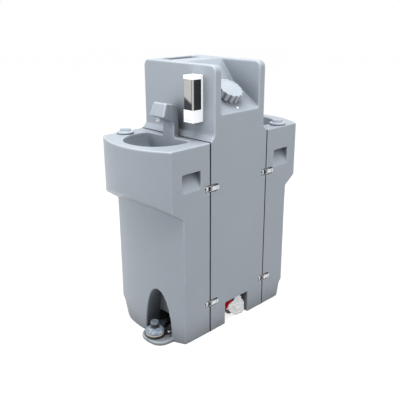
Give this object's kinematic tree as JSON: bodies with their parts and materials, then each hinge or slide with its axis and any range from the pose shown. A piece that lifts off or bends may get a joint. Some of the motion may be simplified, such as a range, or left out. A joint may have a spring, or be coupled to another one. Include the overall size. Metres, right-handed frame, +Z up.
{
  "type": "portable handwash station",
  "caption": "Free-standing two-sided hand washing station: a moulded water tower between two basin sections with foot pumps, spouts, soap dispensers, latches and a drain.",
  "frame": {"origin": "On the floor, in the middle of the station's bounding box.", "axes": "+Z up; -Y towards the user of the front basin; +X towards the side with the fill cap and the drain."},
  "size_m": [0.4862, 1.026, 1.3],
  "materials": {
    "grey_tank": "satin",
    "pale_cap": "satin",
    "grey_cap": "satin",
    "black_rubber": "matt",
    "white_plastic": "gloss",
    "steel": "brushed",
    "bright_metal": "polished",
    "black_plastic": "satin",
    "blue_rubber": "satin",
    "knob_plastic": "satin",
    "bottle": "translucent",
    "gloss_black": "gloss",
    "brass": "satin",
    "red_plastic": "gloss",
    "bag_film": "crumpled"
  },
  "bodies": {
    "station": {"fresh_water_tank": "grey_tank", "vent_plug": "white_plastic", "front_waste_tank": "grey_tank", "rear_waste_tank": "grey_tank", "drain_strainers": "steel", "spout_nozzles": "white_plastic", "front_supply_hose": "black_rubber", "rear_supply_hose": "black_rubber", "front_suction_hose": "black_rubber", "rear_suction_hose": "black_rubber", "hose_clamps": "bright_metal", "hose_fittings": "bright_metal", "front_pump_base": "black_plastic", "rear_pump_base": "black_plastic", "pump_clamp_rings": "white_plastic", "front_pump_diaphragm": "blue_rubber", "rear_pump_diaphragm": "blue_rubber", "front_pump_spring": "steel", "rear_pump_spring": "steel", "pump_screws": "steel", "front_dispenser_shell": "white_plastic", "rear_dispenser_shell": "white_plastic", "soap_bottles": "bottle", "dispenser_fronts": "bright_metal", "dispenser_sides": "gloss_black", "soap_spouts": "white_plastic", "dispenser_screws": "steel", "drain_valve_body": "brass", "drain_bag": "bag_film", "latch_plates": "steel", "latch_rivets": "steel"},
    "fill_gasket": {"fill_cap_gasket": "black_rubber"},
    "fill_cap": {"fill_cap": "pale_cap"},
    "front_waste_cap": {"front_waste_cap": "grey_cap", "front_waste_cap_seal": "black_rubber"},
    "rear_waste_cap": {"rear_waste_cap": "grey_cap", "rear_waste_cap_seal": "black_rubber"},
    "front_knob": {"front_pump_knob": "knob_plastic"},
    "rear_knob": {"rear_pump_knob": "knob_plastic"},
    "front_lid": {"front_dispenser_lid": "white_plastic"},
    "rear_lid": {"rear_dispenser_lid": "white_plastic"},
    "front_soap_lever": {"front_dispenser_lever": "white_plastic"},
    "rear_soap_lever": {"rear_dispenser_lever": "white_plastic"},
    "handwheel": {"drain_valve_handle": "red_plastic"},
    "front_right_upper_latch": {"front_right_upper_lever": "steel"},
    "front_right_upper_loop": {"front_right_upper_loop": "steel"},
    "front_right_lower_latch": {"front_right_lower_lever": "steel"},
    "front_right_lower_loop": {"front_right_lower_loop": "steel"},
    "rear_right_upper_latch": {"rear_right_upper_lever": "steel"},
    "rear_right_upper_loop": {"rear_right_upper_loop": "steel"},
    "rear_right_lower_latch": {"rear_right_lower_lever": "steel"},
    "rear_right_lower_loop": {"rear_right_lower_loop": "steel"},
    "rear_left_upper_latch": {"rear_left_upper_lever": "steel"},
    "rear_left_upper_loop": {"rear_left_upper_loop": "steel"},
    "rear_left_lower_latch": {"rear_left_lower_lever": "steel"},
    "rear_left_lower_loop": {"rear_left_lower_loop": "steel"},
    "front_left_upper_latch": {"front_left_upper_lever": "steel"},
    "front_left_upper_loop": {"front_left_upper_loop": "steel"},
    "front_left_lower_latch": {"front_left_lower_lever": "steel"},
    "front_left_lower_loop": {"front_left_lower_loop": "steel"}
  },
  "joints": [
    {"name": "fill_cap_rise", "type": "slide", "parent": "station", "child": "fill_gasket", "axis": [0.5547, 0, 0.8321], "range_m": [0, 0.012]},
    {"name": "fill_cap_turn", "type": "hinge", "parent": "fill_gasket", "child": "fill_cap", "pos_m": [0.14822, 0, 1.14119], "axis": [0.5547, 0, 0.8321], "range_deg": [0, 720]},
    {"name": "front_waste_cap_lift", "type": "slide", "parent": "station", "child": "front_waste_cap", "axis": [0, 0, 1], "range_m": [0, 0.05]},
    {"name": "rear_waste_cap_lift", "type": "slide", "parent": "station", "child": "rear_waste_cap", "axis": [0, 0, 1], "range_m": [0, 0.05]},
    {"name": "front_pump_press", "type": "slide", "parent": "station", "child": "front_knob", "axis": [0, 0, -1], "range_m": [0, 0.015], "stiffness_N_per_m": 600, "deforming": ["front_pump_diaphragm", "front_pump_spring"]},
    {"name": "rear_pump_press", "type": "slide", "parent": "station", "child": "rear_knob", "axis": [0, 0, -1], "range_m": [0, 0.015], "stiffness_N_per_m": 600, "deforming": ["rear_pump_diaphragm", "rear_pump_spring"]},
    {"name": "front_lid_hinge", "type": "hinge", "parent": "station", "child": "front_lid", "pos_m": [0.135, -0.1885, 1.252], "axis": [-1, 0, 0], "range_deg": [0, 90]},
    {"name": "rear_lid_hinge", "type": "hinge", "parent": "station", "child": "rear_lid", "pos_m": [-0.135, 0.1885, 1.252], "axis": [1, 0, 0], "range_deg": [0, 90]},
    {"name": "front_soap_press", "type": "hinge", "parent": "station", "child": "front_soap_lever", "pos_m": [0.135, -0.225, 1.094], "axis": [1, 0, 0], "range_deg": [0, 10], "stiffness_Nm_per_rad": 1.5},
    {"name": "rear_soap_press", "type": "hinge", "parent": "station", "child": "rear_soap_lever", "pos_m": [-0.135, 0.225, 1.094], "axis": [-1, 0, 0], "range_deg": [0, 10], "stiffness_Nm_per_rad": 1.5},
    {"name": "drain_turn", "type": "hinge", "parent": "station", "child": "handwheel", "pos_m": [0.202, -0.016, 0.052], "axis": [1, 0, 0], "range_deg": [0, 1080]},
    {"name": "front_right_upper_turn", "type": "hinge", "parent": "station", "child": "front_right_upper_latch", "pos_m": [0.2385, -0.191, 0.749], "axis": [0, 0, -1], "range_deg": [0, 125]},
    {"name": "front_right_upper_loop_turn", "type": "hinge", "parent": "front_right_upper_latch", "child": "front_right_upper_loop", "pos_m": [0.2385, -0.182, 0.749], "axis": [0, 0, -1], "range_deg": [-125, 0]},
    {"name": "front_right_lower_turn", "type": "hinge", "parent": "station", "child": "front_right_lower_latch", "pos_m": [0.2385, -0.191, 0.158], "axis": [0, 0, -1], "range_deg": [0, 125]},
    {"name": "front_right_lower_loop_turn", "type": "hinge", "parent": "front_right_lower_latch", "child": "front_right_lower_loop", "pos_m": [0.2385, -0.182, 0.158], "axis": [0, 0, -1], "range_deg": [-125, 0]},
    {"name": "rear_right_upper_turn", "type": "hinge", "parent": "station", "child": "rear_right_upper_latch", "pos_m": [0.2385, 0.209, 0.749], "axis": [0, 0, -1], "range_deg": [0, 125]},
    {"name": "rear_right_upper_loop_turn", "type": "hinge", "parent": "rear_right_upper_latch", "child": "rear_right_upper_loop", "pos_m": [0.2385, 0.218, 0.749], "axis": [0, 0, -1], "range_deg": [-125, 0]},
    {"name": "rear_right_lower_turn", "type": "hinge", "parent": "station", "child": "rear_right_lower_latch", "pos_m": [0.2385, 0.209, 0.158], "axis": [0, 0, -1], "range_deg": [0, 125]},
    {"name": "rear_right_lower_loop_turn", "type": "hinge", "parent": "rear_right_lower_latch", "child": "rear_right_lower_loop", "pos_m": [0.2385, 0.218, 0.158], "axis": [0, 0, -1], "range_deg": [-125, 0]},
    {"name": "rear_left_upper_turn", "type": "hinge", "parent": "station", "child": "rear_left_upper_latch", "pos_m": [-0.2385, 0.191, 0.749], "axis": [0, 0, -1], "range_deg": [0, 125]},
    {"name": "rear_left_upper_loop_turn", "type": "hinge", "parent": "rear_left_upper_latch", "child": "rear_left_upper_loop", "pos_m": [-0.2385, 0.182, 0.749], "axis": [0, 0, -1], "range_deg": [-125, 0]},
    {"name": "rear_left_lower_turn", "type": "hinge", "parent": "station", "child": "rear_left_lower_latch", "pos_m": [-0.2385, 0.191, 0.158], "axis": [0, 0, -1], "range_deg": [0, 125]},
    {"name": "rear_left_lower_loop_turn", "type": "hinge", "parent": "rear_left_lower_latch", "child": "rear_left_lower_loop", "pos_m": [-0.2385, 0.182, 0.158], "axis": [0, 0, -1], "range_deg": [-125, 0]},
    {"name": "front_left_upper_turn", "type": "hinge", "parent": "station", "child": "front_left_upper_latch", "pos_m": [-0.2385, -0.209, 0.749], "axis": [0, 0, -1], "range_deg": [0, 125]},
    {"name": "front_left_upper_loop_turn", "type": "hinge", "parent": "front_left_upper_latch", "child": "front_left_upper_loop", "pos_m": [-0.2385, -0.218, 0.749], "axis": [0, 0, -1], "range_deg": [-125, 0]},
    {"name": "front_left_lower_turn", "type": "hinge", "parent": "station", "child": "front_left_lower_latch", "pos_m": [-0.2385, -0.209, 0.158], "axis": [0, 0, -1], "range_deg": [0, 125]},
    {"name": "front_left_lower_loop_turn", "type": "hinge", "parent": "front_left_lower_latch", "child": "front_left_lower_loop", "pos_m": [-0.2385, -0.218, 0.158], "axis": [0, 0, -1], "range_deg": [-125, 0]}
  ],
  "couplings": [
    {"joint": "fill_cap_rise", "follows": "fill_cap_turn", "m_per_rad": 0.00095493},
    {"joint": "front_right_upper_loop_turn", "follows": "front_right_upper_turn", "ratio": -1},
    {"joint": "front_right_lower_loop_turn", "follows": "front_right_lower_turn", "ratio": -1},
    {"joint": "rear_right_upper_loop_turn", "follows": "rear_right_upper_turn", "ratio": -1},
    {"joint": "rear_right_lower_loop_turn", "follows": "rear_right_lower_turn", "ratio": -1},
    {"joint": "rear_left_upper_loop_turn", "follows": "rear_left_upper_turn", "ratio": -1},
    {"joint": "rear_left_lower_loop_turn", "follows": "rear_left_lower_turn", "ratio": -1},
    {"joint": "front_left_upper_loop_turn", "follows": "front_left_upper_turn", "ratio": -1},
    {"joint": "front_left_lower_loop_turn", "follows": "front_left_lower_turn", "ratio": -1}
  ]
}
